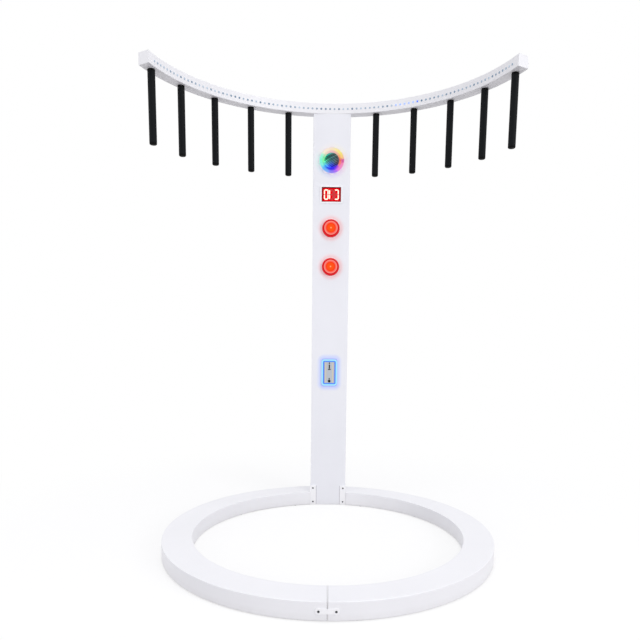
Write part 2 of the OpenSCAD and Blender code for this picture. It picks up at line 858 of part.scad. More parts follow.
module stick(i) {
    r = stick_d / 2;
    round_top = 3;
    round_end = 7;
    cap_l = 9;
    line_w = 1;
    line_depth = 0.6;
    color(black) on_beam(stick_angle(i), beam_mid_r) translate([0, 0, sleeve_top])
        rotate_extrude($fn = 48) {
            difference() {
                union() {
                    translate([0, -stick_len + round_end]) square([r, stick_len - round_end - round_top]);
                    translate([0, -stick_len]) square([r - round_end, stick_len]);
                    translate([0, -round_top - eps]) square([r - round_top, round_top + eps]);
                    translate([r - round_end, -stick_len + round_end]) circle(r = round_end);
                    translate([r - round_top, -round_top]) circle(r = round_top);
                }
                translate([-r, -stick_len - 1]) square([r, stick_len + 2]);
                translate([0, -head_t + head_proud]) square([stick_head_d / 2 + 0.05, head_t]);
                // lines between the end caps and the sleeve
                for (z = [-cap_l, -stick_len + cap_l])
                    translate([r - line_depth, z - line_w / 2]) square([1, line_w]);
            }
        }
}

module stick_head(i) {
    color(steel) on_beam(stick_angle(i), beam_mid_r) translate([0, 0, stick_z - head_t])
        cylinder(r = stick_head_d / 2, h = head_t, $fn = 48);
}

// Speaker

ring_t = 12;
speaker_stud_ring = grille_d / 2 + 5;
speaker_stud_r = 1.9;
speaker_stud_hole_r = 2.1;

module speaker_light_ring() {
    petal_r = light_ring_d / 2 * sin(180 / petals) * 1.15;
    centre_r = light_ring_d / 2 - petal_r;
    color([0.8, 0.9, 1]) on_front(speaker_z) difference() {
        union() {
            linear_extrude(ring_t - 4) {
                circle(r = centre_r + petal_r * 0.5);
                for (i = [0 : petals - 1])
                    rotate(i * 360 / petals) translate([centre_r, 0]) circle(r = petal_r, $fn = 32);
            }
            rotate_extrude() polygon([
                [0, 0], [centre_r, 0], [centre_r, ring_t - 4], [centre_r - 8, ring_t], [0, ring_t]
            ]);
        }
        translate([0, 0, -1]) cylinder(r = grille_d / 2 + 0.5, h = ring_t + 2);
        for (a = [45 : 90 : 315])
            rotate(a) translate([speaker_stud_ring, 0, -1]) cylinder(r = speaker_stud_hole_r, h = 7);
    }
}

module speaker_grille() {
    r = grille_d / 2;
    rise = 14;
    t = 1.6;
    ball_r = (r * r + rise * rise) / (2 * rise);
    low = ring_t - 6;
    slot_pitch = 7.5;
    slot_w = 4;
    slot_count_side = floor((r - 8) / slot_pitch);
    color(black) on_front(speaker_z) {
        difference() {
            intersection() {
                translate([0, 0, low + rise - ball_r]) difference() {
                    sphere(r = ball_r, $fn = 96);
                    sphere(r = ball_r - t, $fn = 96);
                }
                translate([0, 0, low - 1]) cylinder(r = r, h = rise + 4);
            }
            rotate([0, 0, 28]) linear_extrude(60) intersection() {
                circle(r = r - 5);
                for (i = [-slot_count_side : slot_count_side])
                    translate([-r, i * slot_pitch - slot_w / 2]) square([2 * r, slot_w]);
            }
        }
        // rim and tube that run back to the speaker
        difference() {
            translate([0, 0, -sheet]) cylinder(r = r, h = low + sheet + 1);
            translate([0, 0, -sheet - 1]) cylinder(r = r - 2, h = low + sheet + 4);
        }
    }
}

module speaker_driver() {
    flange_r = grille_d / 2 + 9;
    color([0.12, 0.12, 0.13]) on_front(speaker_z) difference() {
        rotate_extrude() polygon([
            [0, -48], [30, -48], [30, -33], [24, -33], [24, -27], [36, -8], [flange_r, -6],
            [flange_r, -sheet - 0.05], [36, -sheet - 0.05], [33, -7], [12, -24], [0, -20]
        ]);
        for (a = [45 : 90 : 315])
            rotate(a) translate([speaker_stud_ring, 0, -20]) cylinder(r = speaker_stud_hole_r, h = 20);
    }
}

// Score display

digit_w = 26;
digit_h = 56;
digit_pitch = 29;
segment_t = 6;
lit_segments = ["abcdef", "ef", "abcd"];
dark_segments = ["g", "abcdg", "efg"];
dark_segment_proud = 0.3;
face_z = -4;
board_margin_x = 15;
board_margin_y = 11;

// One bar of a seven-segment digit, lying along X
module segment_bar(l) {
    polygon([
        [-l / 2, 0], [-l / 2 + segment_t / 2, segment_t / 2], [l / 2 - segment_t / 2, segment_t / 2],
        [l / 2, 0], [l / 2 - segment_t / 2, -segment_t / 2], [-l / 2 + segment_t / 2, -segment_t / 2]
    ]);
}

// Segments by letter: a top, b and c right, d bottom, e and f left, g middle
module segment(letter) {
    across = digit_w - segment_t - 0.8;
    up = digit_h / 2 - segment_t / 2 - 0.8;
    x = (digit_w - segment_t) / 2;
    y = digit_h / 2 - segment_t / 2;
    if (letter == "a") translate([0, y]) segment_bar(across);
    if (letter == "d") translate([0, -y]) segment_bar(across);
    if (letter == "g") segment_bar(across);
    if (letter == "b") translate([x, y / 2]) rotate(90) segment_bar(up);
    if (letter == "c") translate([x, -y / 2]) rotate(90) segment_bar(up);
    if (letter == "f") translate([-x, y / 2]) rotate(90) segment_bar(up);
    if (letter == "e") translate([-x, -y / 2]) rotate(90) segment_bar(up);
}

module display_bezel() {
    color(white) on_front(display_z) difference() {
        linear_extrude(4) rounded(window_w + 2 * bezel_border, window_h + 2 * bezel_border - 4, 3);
        translate([0, 0, -1]) linear_extrude(6) square([window_w, window_h], center = true);
    }
}

module display_window() {
    color([0.5, 0.02, 0.02, 0.6]) on_front(display_z) translate([0, 0, -3]) linear_extrude(3)
        rounded(window_w + 3.4, window_h + 3.4, 1.7);
}

module display_board() {
    board_w = window_w + 2 * board_margin_x;
    board_h = window_h + 2 * board_margin_y;
    board_z = -14;
    color([0.08, 0.08, 0.1]) on_front(display_z) {
        for (i = [-1 : 1])
            translate([i * digit_pitch - (digit_pitch - 0.6) / 2, -window_h / 2 + 6, board_z])
                cube([digit_pitch - 0.6, window_h - 12, face_z - board_z]);
        for (i = [0 : 2], letter = dark_segments[i])
            translate([(i - 1) * digit_pitch, 0, face_z - 1])
                linear_extrude(1 + dark_segment_proud) segment(letter);
        difference() {
            translate([0, 0, board_z - 1.6]) linear_extrude(1.6) square([board_w, board_h], center = true);
            for (x = [-1, 1], y = [-1, 1])
                translate([x * (board_w / 2 - 6), y * (board_h / 2 - 5), board_z - 3])
                    cylinder(r = 1.6, h = 5);
        }
        for (x = [-1, 1], y = [-1, 1])
            translate([x * (board_w / 2 - 6), y * (board_h / 2 - 5), 0]) {
                translate([0, 0, board_z]) cylinder(r = 3, h = -board_z - sheet);
                translate([0, 0, board_z - 4]) cylinder(r = 1.5, h = 5);
            }
    }
}

module display_lit_segments() {
    color([1, 0.95, 0.85]) on_front(display_z) for (i = [0 : 2], letter = lit_segments[i])
        translate([(i - 1) * digit_pitch, 0, face_z]) linear_extrude(0.5) segment(letter);
}

// Push buttons: local Z points to the player

stem_r = 12;
stem_l = 55;
plunger_r = 4;
dome_low = 3 + button_travel + 0.5;
dome_r = button_d / 2 - 7;
disc_r = 27;
dome_high = 27;

module at_button(z) {
    on_front(z) children();
}

module button_base() {
    r = button_d / 2;
    difference() {
        rotate_extrude() polygon([
            [0, -stem_l], [stem_r, -stem_l], [stem_r, 0], [r, 0], [r, 4], [r - 1.2, 8],
            [r - 4, 17], [r - 6.4, 17], [r - 6.4, 3], [0, 3]
        ]);
        translate([0, 0, -stem_l - 1]) cylinder(r = plunger_r + slide_gap, h = stem_l + 10);
        translate([0, 0, -stem_l - 1]) cylinder(r = 9, h = stem_l - 9);
    }
}

module button_bases() {
    color(red) for (z = [button_upper_z, button_lower_z]) at_button(z) button_base();
}

module button_switches() {
    color(black) for (z = [button_upper_z, button_lower_z]) at_button(z) {
        difference() {
            translate([-14, -14, -stem_l - 22]) cube([28, 28, 22]);
            translate([0, 0, -stem_l - 12]) cylinder(r = 6, h = 13);
        }
        // contact tongue below the plunger
        translate([-8, -3, -stem_l - 24]) cube([1, 6, 3]);
        translate([7, -3, -stem_l - 24]) cube([1, 6, 3]);
    }
}

module button_dome() {
    r = dome_r;
    t = 2.5;
    color([1, 0.35, 0.3]) {
        rotate_extrude() polygon([
            [0, -stem_l], [plunger_r, -stem_l], [plunger_r, dome_high - 6], [disc_r + 2, dome_high - 6],
            [r - 8, dome_high - 9.5], [r - t, dome_high - 14], [r - t, dome_low], [r, dome_low],
            [r, dome_high - 11], [r - 2.5, dome_high - 7.5], [r - 7, dome_high - 4.5],
            [disc_r + 2, dome_high - 2], [disc_r + 0.2, dome_high - 1.6],
            [disc_r + 0.2, dome_high - 3.5], [0, dome_high - 3.5]
        ]);
    }
}

module button_disc() {
    color([1, 0.25, 0.05]) translate([0, 0, dome_high - 3.5]) rotate_extrude() polygon([
        [0, 0], [disc_r, 0], [disc_r, 1.9], [disc_r - 6, 2.9], [0, 3.5]
    ]);
}

module upper_button_dome() {
    at_button(button_upper_z) button_dome();
}

module lower_button_dome() {
    at_button(button_lower_z) button_dome();
}

module upper_button_disc() {
    at_button(button_upper_z) button_disc();
}

module lower_button_disc() {
    at_button(button_lower_z) button_disc();
}

// Coin unit: local Z points to the player

coin_frame_t = 9;
coin_face_z = 8;
coin_back_z = coin_face_z - 4;
return_dz = -coin_h / 2 + 11;
return_r = 8;
slot_dz = 35;
slot_l = 24;
coin_screw_r = 2;
coin_screw_dz = coin_h / 2 - 6.5;

module coin_light_frame() {
    color([0.3, 0.6, 1]) on_front(coin_z) difference() {
        union() {
            linear_extrude(coin_frame_t - 3)
                rounded(coin_w + 2 * coin_border, coin_h + 2 * coin_border_end, 15);
            linear_extrude(coin_frame_t)
                rounded(coin_w + 2 * coin_border - 6, coin_h + 2 * coin_border_end - 6, 12);
        }
        translate([0, 0, -1]) linear_extrude(coin_frame_t + 2)
            rounded(coin_w + 0.8, coin_h + 0.8, 2);
    }
}

module coin_plate() {
    color(steel) on_front(coin_z) difference() {
        union() {
            translate([0, 0, coin_back_z]) linear_extrude(3) rounded(coin_w, coin_h, 2);
            // raised middle band that widens to both ends
            translate([0, 0, coin_face_z - 3]) linear_extrude(3) polygon([
                [-22, coin_h / 2 - 1], [22, coin_h / 2 - 1], [16, coin_h / 2 - 16],
                [16, -coin_h / 2 + 22], [22, -coin_h / 2 + 1], [-22, -coin_h / 2 + 1],
                [-16, -coin_h / 2 + 22], [-16, coin_h / 2 - 16]
            ]);
            // raised guide round the slot with a cross boss under it, and a pointer over the button
            translate([0, slot_dz, coin_face_z - 1]) linear_extrude(3.5) rounded(12, slot_l + 8, 5.9);
            translate([0, slot_dz - slot_l / 2 - 4.5, coin_face_z - 1]) linear_extrude(3.2)
                rounded(16.5, 7, 3.4);
            translate([0, return_dz + return_r, coin_face_z - 1]) linear_extrude(2.2)
                polygon([[-3, 11], [3, 11], [4.5, 1.5], [-4.5, 1.5]]);
            // skirt through the column's sheet
            translate([0, 0, -sheet]) linear_extrude(coin_back_z + sheet) difference() {
                rounded(coin_w, coin_h, 2);
                rounded(coin_w - 4, coin_h - 4, 1);
            }
        }
        translate([0, slot_dz, -20]) linear_extrude(50) square([3.5, slot_l], center = true);
        translate([0, slot_dz, coin_face_z]) linear_extrude(over) rounded(7, slot_l + 1, 3.4);
        translate([0, return_dz, -20]) cylinder(r = return_r + slide_gap, h = 50);
        translate([0, coin_screw_dz, -20]) cylinder(r = coin_screw_r + 0.15, h = 50);
    }
}

module coin_return_button() {
    color(black) on_front(coin_z) translate([0, return_dz, 0]) rotate_extrude() polygon([
        [0, -8], [return_r, -8], [return_r, coin_face_z + 3.5], [return_r - 2, coin_face_z + 5],
        [0, coin_face_z + 5.5]
    ]);
}

module coin_mechanism() {
    w = coin_w - 6;
    h = coin_h - 6;
    color([0.15, 0.15, 0.16]) on_front(coin_z) difference() {
        union() {
            translate([0, 0, -sheet - 3]) linear_extrude(3) rounded(coin_w + 20, coin_h + 16, 4);
            translate([w / 2, 0, 0]) rotate([0, -90, 0]) linear_extrude(w) polygon([
                [-sheet, -h / 2], [-sheet, h / 2], [-42, h / 2], [-62, h / 2 - 22],
                [-62, -h / 2 - 6], [-30, -h / 2 - 6]
            ]);
        }
        // coin path behind the slot, and the well of the return button
        translate([-1.75, -h / 2 - 10, -26]) cube([3.5, h + 2 - 20 + 14, 26]);
        translate([0, return_dz, -20]) cylinder(r = return_r + 1.2, h = 30);
        translate([0, coin_screw_dz, -12]) cylinder(r = coin_screw_r + 0.15, h = 20);
    }
}

module coin_box() {
    w = 150;
    d = 104;
    h = 170;
    t = 1.5;
    y0 = column_front + 10;
    color(steel) difference() {
        translate([-w / 2, y0, shelf_z]) cube([w, d, h]);
        translate([-w / 2 + t, y0 + t, shelf_z + t]) cube([w - 2 * t, d - 2 * t, h]);
    }
}

base_half_left();
base_half_right();
base_feet();
base_joining_plates();
foot_brackets();
fasteners();
column_shell();
rear_panel();
inlet_panel();
service_door();
door_hinges();
lock_housing();
door_lock();
power_inlet();
power_rocker();
control_board();
power_supply();
beam_channel();
beam_back_cover();
beam_end_caps();
led_pixels();
electromagnets();
speaker_grille();
speaker_light_ring();
speaker_driver();
display_bezel();
display_window();
display_board();
display_lit_segments();
button_bases();
button_switches();
upper_button_dome();
upper_button_disc();
lower_button_dome();
lower_button_disc();
coin_light_frame();
coin_plate();
coin_return_button();
coin_mechanism();
coin_box();
stick(1);  // stick_1
stick(2);  // stick_2
stick(3);  // stick_3
stick(4);  // stick_4
stick(5);  // stick_5
stick(6);  // stick_6
stick(7);  // stick_7
stick(8);  // stick_8
stick(9);  // stick_9
stick(10);  // stick_10
stick_head(1);  // stick_head_1
stick_head(2);  // stick_head_2
stick_head(3);  // stick_head_3
stick_head(4);  // stick_head_4
stick_head(5);  // stick_head_5
stick_head(6);  // stick_head_6
stick_head(7);  // stick_head_7
stick_head(8);  // stick_head_8
stick_head(9);  // stick_head_9
stick_head(10);  // stick_head_10
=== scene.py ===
# %% [markdown]
# # A reaction stick arcade game
# A ring stands on the floor and carries a tall column. A curved beam on the column's top holds ten
# black sticks on magnets, and the player catches the one that drops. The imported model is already
# built at its real size, in metres, so this lesson is about finishes: powder-coated steel, rubber,
# lit plastic, clear acrylic and die-cast metal.

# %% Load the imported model
import math

import bpy
from mathutils import Matrix, Vector


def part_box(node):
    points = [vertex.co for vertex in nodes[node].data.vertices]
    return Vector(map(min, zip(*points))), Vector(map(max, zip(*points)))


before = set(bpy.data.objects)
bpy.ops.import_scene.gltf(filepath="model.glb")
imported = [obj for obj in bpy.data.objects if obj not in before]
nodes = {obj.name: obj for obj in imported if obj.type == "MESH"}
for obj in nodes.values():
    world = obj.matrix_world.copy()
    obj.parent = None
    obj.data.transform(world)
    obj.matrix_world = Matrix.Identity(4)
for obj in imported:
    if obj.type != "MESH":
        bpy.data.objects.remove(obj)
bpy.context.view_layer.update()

# %% [markdown]
# ## The camera
# A camera can be placed by eye or worked out. This one was worked out from the outline of the ring,
# the column and the beam in a photograph of 640 by 640 pixels, so its place, tilt and lens are known
# numbers. The photograph is a crop, which is why the lens is shifted.

# %% Camera
PHOTO_SIDE = 640
FOCAL_PX = 606.5
AXIS_PX = (325, 410)
SENSOR_MM = 36.0
CAMERA_AT = Vector((-0.0084, -2.9014, 1.0927))
CAMERA_DOWN = 0.1429
CAMERA_YAW = 0.004
CAMERA_ROLL = -0.0109

camera_data = bpy.data.cameras.new("photo_camera")
camera_data.sensor_width = SENSOR_MM
camera_data.lens = FOCAL_PX * SENSOR_MM / PHOTO_SIDE
camera_data.shift_x = (PHOTO_SIDE / 2 - AXIS_PX[0]) / PHOTO_SIDE
camera_data.shift_y = (AXIS_PX[1] - PHOTO_SIDE / 2) / PHOTO_SIDE
camera = bpy.data.objects.new("photo_camera", camera_data)
bpy.context.scene.collection.objects.link(camera)
aim = (
    Matrix.Rotation(CAMERA_YAW, 4, "Z")
    @ Matrix.Rotation(-CAMERA_DOWN, 4, "X")
    @ Matrix.Rotation(CAMERA_ROLL, 4, "Y")
)
upright = Matrix.Rotation(math.pi / 2, 4, "X")
camera.matrix_world = Matrix.Translation(CAMERA_AT) @ aim @ upright
bpy.context.scene.camera = camera
bpy.context.scene.view_settings.view_transform = "Standard"
print("lens", round(camera_data.lens, 2), "mm, shift", round(camera_data.shift_y, 3))

# %% [markdown]
# ## Helpers for materials
# A material is a small graph of nodes. One function adds a node, sets its options and feeds its
# sockets, either with a number, a colour or another node's output. Colours are written as sRGB hex
# values, the way a paint chart gives them, and turned to the linear values that the renderer adds up.

# %% Helpers for materials
MM = 0.001


def linear(hex_colour):
    """An sRGB hex colour as linear red, green and blue, with alpha."""
    channels = [int(hex_colour[i:i + 2], 16) / 255 for i in (1, 3, 5)]
    rgb = [c / 12.92 if c <= 0.04045 else ((c + 0.055) / 1.055) ** 2.4 for c in channels]
    return (*rgb, 1.0)


def feed(node, inputs):
    """Fills a node's sockets with numbers, vectors, hex colours or other nodes' outputs."""
    for socket, value in inputs.items():
        if isinstance(value, bpy.types.NodeSocket):
            node.id_data.links.new(value, node.inputs[socket])
        else:
            node.inputs[socket].default_value = linear(value) if isinstance(value, str) else value


def add(tree, kind, inputs, out=0, **settings):
    """Adds a node with its settings and links, and returns one of its outputs."""
    node = tree.nodes.new("ShaderNode" + kind)
    for name, value in settings.items():
        setattr(node, name, value)
    feed(node, inputs)
    return node.outputs[out]


def start_material(name, **sockets):
    """A new material with its surface shader. Underscores in a socket's name stand for spaces."""
    material = bpy.data.materials.new(name)
    material.use_nodes = True
    surface = material.node_tree.nodes["Principled BSDF"]
    feed(surface, {key.replace("_", " "): value for key, value in sockets.items()})
    return material, material.node_tree, surface


def dress(material, *names):
    """Gives CAD nodes a finish."""
    for name in names:
        for slot in nodes[name].material_slots:
            slot.material = material
    print(material.name, "on", len(names), "nodes")


print("half grey in linear light", round(linear("#808080")[0], 3))

# %% [markdown]
# A Mix node keeps a pair of sockets for each kind of data. Three names below stand for its two colour
# inputs and its colour output. Object coordinates give a point's place on its own piece in metres, and
# that place doesn't change when the piece moves, so a pattern stays on a stick that drops.

# %% Patterns that several finishes share
LOWER, UPPER, MIXED = 6, 7, 2
ACRYLIC_IOR = 1.49


def per_metre(size_mm):
    """The texture scale that makes one cell of a pattern that many millimetres wide."""
    return 1 / (size_mm * MM)


def layered(tree, colour, layers):
    """Lays colours over each other, each with a factor that says how much of it shows."""
    for factor, upper in layers:
        colour = add(tree, "Mix", {0: factor, LOWER: colour, UPPER: upper}, MIXED, data_type="RGBA")
    return colour


def banded(tree, distance, inner, bands):
    """Colours that follow each other with distance. A band has its start, its full place, a colour."""
    layers = []
    for start, full, colour in bands:
        ends = {"Value": distance, "From Min": start, "From Max": full}
        layers.append((add(tree, "MapRange", ends, interpolation_type="SMOOTHSTEP"), colour))
    return layered(tree, inner, layers)


def off_middle(tree, point):
    """How far a point lies to either side of the object's middle plane."""
    sides = add(tree, "VectorMath", {0: point}, operation="ABSOLUTE")
    return add(tree, "SeparateXYZ", {0: sides}, "X")


def reach(tree, point, centre, near, far, strongest=1.0):
    """A factor that is strongest up to one distance from a centre and falls to nothing at another."""
    away = add(tree, "VectorMath", {0: point, 1: centre}, "Value", operation="DISTANCE")
    ends = {"Value": away, "From Min": near, "From Max": far, "To Min": strongest, "To Max": 0.0}
    return add(tree, "MapRange", ends, interpolation_type="SMOOTHERSTEP")


def grain(tree, surface, point, cell_mm, depth_mm, detail=2.0):
    """Raises a surface in soft cells of a real width and depth, and returns the cells."""
    noise = {"Vector": point, "Scale": per_metre(cell_mm), "Detail": detail}
    cells = add(tree, "TexNoise", noise)
    feed(surface, {"Normal": add(tree, "Bump", {"Height": cells, "Distance": depth_mm * MM})})
    return cells


print("colour sockets", LOWER, UPPER, MIXED)

# %% [markdown]
# ## Where the lit parts are
# The lights on the column tint the white paint round them. Their places come from the model itself,
# so the glow stays round the part that makes it.

# %% Places of the lit parts
COLUMN_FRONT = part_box("column_shell")[0].y


def middle(name):
    """The middle of a node's box, brought to the column's front face."""
    low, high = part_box(name)
    return Vector(((low.x + high.x) / 2, COLUMN_FRONT, (low.z + high.z) / 2))


def half_size(name):
    """Half of a node's size, along X, Y and Z."""
    low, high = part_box(name)
    return (high - low) / 2


speaker = middle("speaker_light_ring")
display = middle("display_window")
coin = middle("coin_plate")
buttons = {name: middle(name + "_button_disc") for name in ("upper", "lower")}
grille_r = half_size("speaker_grille").x
ring_r = half_size("speaker_light_ring").x
button_r = half_size("button_bases").x
dome_r = half_size("upper_button_dome").x
disc_r = half_size("upper_button_disc").x
print("speaker", [round(v, 3) for v in speaker], "button radius", round(button_r, 4))

# %% [markdown]
# Two measures are used more than once. `turn_round` gives the direction from the speaker's middle as
# a number from 0 to 1: 0 is left, then below, right, above and back. It is bent a little by a noise,
# because coloured diodes never blend evenly. `past_frame` gives the distance outside a rounded
# rectangle, which is how light spreads from the coin unit's lit frame. Inside, it falls below zero
# only as far as the corner's radius, so a soft inner edge needs a corner as wide as itself.

# %% Measures round the speaker and the coin unit
DIODE_MM = 9
UNEVEN = 0.14


def turn_round(tree, point):
    """The direction from the speaker's middle: 0 left, 0.25 below, 0.5 right, 0.75 above."""
    offset = add(tree, "VectorMath", {0: point, 1: speaker}, operation="SUBTRACT")
    axes = add(tree, "SeparateXYZ", {0: offset}, "X").node
    angle = add(tree, "Math", {0: axes.outputs["Z"], 1: axes.outputs["X"]}, operation="ARCTAN2")
    patches = add(tree, "TexNoise", {"Vector": point, "Scale": per_metre(DIODE_MM)})
    turn = {0: angle, 1: 1 / math.tau, 2: 0.5 - UNEVEN / 2}
    turn = add(tree, "Math", turn, operation="MULTIPLY_ADD")
    return add(tree, "Math", {0: patches, 1: UNEVEN, 2: turn}, operation="MULTIPLY_ADD")


def past_frame(tree, point, centre, half, corner):
    """How far a point lies outside a rounded rectangle on the column's front."""
    offset = add(tree, "VectorMath", {0: point, 1: centre}, operation="SUBTRACT")
    sides = add(tree, "VectorMath", {0: offset}, operation="ABSOLUTE")
    core = (half.x - corner, 1.0, half.z - corner)
    past = add(tree, "VectorMath", {0: sides, 1: core}, operation="SUBTRACT")
    outside = add(tree, "VectorMath", {0: past, 1: (0, 0, 0)}, operation="MAXIMUM")
    length = add(tree, "VectorMath", {0: outside}, "Value", operation="LENGTH")
    return add(tree, "Math", {0: length, 1: corner}, operation="SUBTRACT")


def colours_round(tree, point, stops):
    """A colour by the direction from the speaker, out of a list of places and colours."""
    ramp = add(tree, "ValToRGB", {0: turn_round(tree, point)}, "Color").node
    ramp.color_ramp.elements[0].color = linear(stops[0][1])
    ramp.color_ramp.elements[1].color = linear(stops[-1][1])
    for place, colour in stops[1:-1]:
        ramp.color_ramp.elements.new(place).color = linear(colour)
    return ramp.outputs["Color"]


print("diodes", DIODE_MM, "mm wide, uneven by", UNEVEN, "of a turn")

# %% [markdown]
# ## Colours round the speaker
# The ring round the speaker holds coloured lights: green and cyan on the left, deep blue below, then
# purple, orange and yellow up the right side, and a pale pink on top. The colours are deep near the
# grille and paler towards the rim, so there are two lists.

# %% Colours round the speaker
RING_INNER = [
    (0.00, "#8CFFA0"), (0.05, "#74F0B4"), (0.10, "#38B4FA"), (0.15, "#1E50F0"), (0.20, "#2018F0"),
    (0.29, "#3418F4"), (0.33, "#7C34F0"), (0.38, "#B848E4"), (0.42, "#F08470"), (0.47, "#FA7454"),
    (0.51, "#E85450"), (0.56, "#FFA468"), (0.63, "#F6BC9C"), (0.75, "#EEB8C4"), (0.86, "#F4DCC4"),
    (0.94, "#7CE8A0"), (1.00, "#8CFFA0"),
]
RING_OUTER = [
    (0.00, "#7CFFDC"), (0.06, "#8CFCE8"), (0.12, "#64BCFF"), (0.18, "#7CB0FF"), (0.24, "#8C7CFA"),
    (0.30, "#A870FC"), (0.35, "#E47CF0"), (0.41, "#FA8CC4"), (0.47, "#F488B4"), (0.505, "#D23C9C"),
    (0.54, "#FFC88C"), (0.60, "#FCEC70"), (0.68, "#FFF2A0"), (0.77, "#FCE8D4"), (0.88, "#FFF4DC"),
    (0.94, "#A0FCE0"), (1.00, "#7CFFDC"),
]
print("stops", len(RING_INNER), len(RING_OUTER))

# %% [markdown]
# ## White powder coat
# The ring, the column and the beam are folded sheet steel with a baked powder coat: white, half
# glossy, with a fine orange peel. The peel cells are about 2.5 mm wide and a few hundredths of a
# millimetre deep. A second, broad noise keeps a large white face from looking flat, and the foot
# carries a trace of dust. Paint could also be a flat colour, but then no edge or face would catch
# light as sprayed metal does.

# %% White powder coat
PAINT_ROUGHNESS = 0.38
PEEL_MM = 2.5
PEEL_DEPTH_MM = 0.03
MOTTLE_MM = 260
DUST_MM = 30
DUST_HEIGHT = 35 * MM
DUST_MOST = 0.45
SEAM_HALF = 1 * MM
SEAM_SHADE_W = 2.5 * MM
SEAM_DARKEST = 0.7


def powder_coat(name, tinted=lambda tree, point: ([], []), white="#F4F4F7", shade="#EEEEF1"):
    """Sprayed white steel. Tints are laid over the paint, and the glow of lights near it is added."""
    material, tree, surface = start_material(name, Roughness=PAINT_ROUGHNESS, IOR=1.5)
    point = add(tree, "TexCoord", {}, "Object")
    mottle = add(tree, "TexNoise", {"Vector": point, "Scale": per_metre(MOTTLE_MM)})
    height = add(tree, "SeparateXYZ", {0: point}, "Z")
    ends = {"Value": height, "From Max": DUST_HEIGHT, "To Min": DUST_MOST, "To Max": 0.0}
    low = add(tree, "MapRange", ends)
    specks = add(tree, "TexNoise", {"Vector": point, "Scale": per_metre(DUST_MM), "Detail": 6.0})
    dust = add(tree, "Math", {0: low, 1: specks}, operation="MULTIPLY")
    paint = layered(tree, white, [(mottle, shade), (dust, "#D6D4D2")])
    tints, glows = tinted(tree, point)
    feed(surface, {"Base Color": layered(tree, paint, tints)})
    if glows:
        feed(surface, {"Emission Color": layered(tree, "#000000", glows), "Emission Strength": 1.0})
    grain(tree, surface, point, PEEL_MM, PEEL_DEPTH_MM)
    return material


def seam_shade(tree, point):
    """Painted shade on the ring's halves along the seam, where the gap between them lies in shade."""
    across = off_middle(tree, point)
    shade_end = SEAM_HALF + SEAM_SHADE_W
    ends = {"Value": across, "From Min": SEAM_HALF, "From Max": shade_end}
    fading = {"To Min": SEAM_DARKEST, "To Max": 0.0}
    # a grey that is painted shade of the seam's gap
    return [(add(tree, "MapRange", ends | fading), "#85838A")], []


dress(
    powder_coat("white_powder_coat"),
    "rear_panel", "inlet_panel", "service_door", "beam_channel", "beam_back_cover", "beam_end_caps",
)
# The ring's coat carries painted shade along its seam.
dress(powder_coat("white_powder_coat_ring", seam_shade), "base_half_left", "base_half_right")
# The plates and brackets get a lighter copy of the same white: painted light, standing in for the light
# that their edges catch.
dress(
    powder_coat("white_powder_coat_fittings_painted_light", white="#FAFAFC", shade="#F6F6F8"),
    "base_joining_plates", "foot_brackets",
)

# %% [markdown]
# The column's own coat also takes the tint of the lights on its front. A tint alone could only make
# the paint darker, so each light also adds a little glow of its own. A grey line along the inner edge
# of each foot bracket is a painted shadow, the one that the bracket's edge casts.

# %% The column's coat with its tints
BRACKET_W = 32 * MM
BRACKET_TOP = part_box("foot_brackets")[1].z
BRACKET_LINE = 1.6 * MM
HALO = 34 * MM
BUTTON_RIM_LIGHT = 9 * MM
SPEAKER_LIP = 4 * MM
FRAME_CORNER = 15 * MM
BUTTON_SHARE, RIM_SHARE, SPEAKER_SHARE, COIN_SHARE = 0.6, 0.8, 0.16, 0.62
column_half = half_size("column_shell").x
frame_half = half_size("coin_light_frame")


def light_tints(tree, point):
    """The tints of the buttons, the speaker ring and the coin frame, and the glow that each adds."""
    inner_edge = column_half - BRACKET_W - BRACKET_LINE
    across = off_middle(tree, point)
    # the painted shadow of each foot bracket's inner edge, below the bracket's top
    line = add(tree, "Math", {0: across, 1: inner_edge, 2: BRACKET_LINE}, operation="COMPARE")
    height = add(tree, "SeparateXYZ", {0: point}, "Z")
    low = add(tree, "Math", {0: height, 1: BRACKET_TOP}, operation="LESS_THAN")
    bracket_shadow = add(tree, "Math", {0: line, 1: low}, operation="MULTIPLY")
    tints, glows = [(bracket_shadow, "#C8C6CE")], []
    for centre in buttons.values():
        pink = reach(tree, point, centre, button_r, button_r + HALO, BUTTON_SHARE)
        rim = reach(tree, point, centre, button_r, button_r + BUTTON_RIM_LIGHT, RIM_SHARE)
        tints += [(pink, "#F6C4C6"), (rim, "#FBF2F4")]
        glows += [(pink, "#3A1E20")]
    near_speaker = reach(tree, point, speaker, ring_r - SPEAKER_LIP, ring_r + HALO, SPEAKER_SHARE)
    tints += [(near_speaker, colours_round(tree, point, RING_OUTER))]
    past = past_frame(tree, point, coin, frame_half, FRAME_CORNER)
    ends = {"Value": past, "From Max": HALO, "To Min": COIN_SHARE, "To Max": 0.0}
    lavender = add(tree, "MapRange", ends, interpolation_type="SMOOTHERSTEP")
    return tints + [(lavender, "#BECBFE")], glows + [(lavender, "#24283C")]


# The column's white is a little darker and bluer than the rest of the coat: painted shade of the same
# paint.
dress(powder_coat("white_powder_coat_column", light_tints, "#F1F2F7", "#EBECF1"), "column_shell")

# %% [markdown]
# ## Rubber
# The sticks are firm moulded rubber: nearly black and matt, with a fine skin that softens the
# highlight along each side. The cap at each end is smoother and darker than the sleeve. Rubber
# reflects less than plastic, so its specular level is low. The feet are the same rubber.

# %% Rubber
CAP_L = 9 * MM
SKIN_MM = 6  # the real pits are finer, but they would only flicker at this size
SKIN_DEPTH_MM = 0.02
STICKS = ["stick_%d" % i for i in range(1, 11)]
HEADS = ["stick_head_%d" % i for i in range(1, 11)]


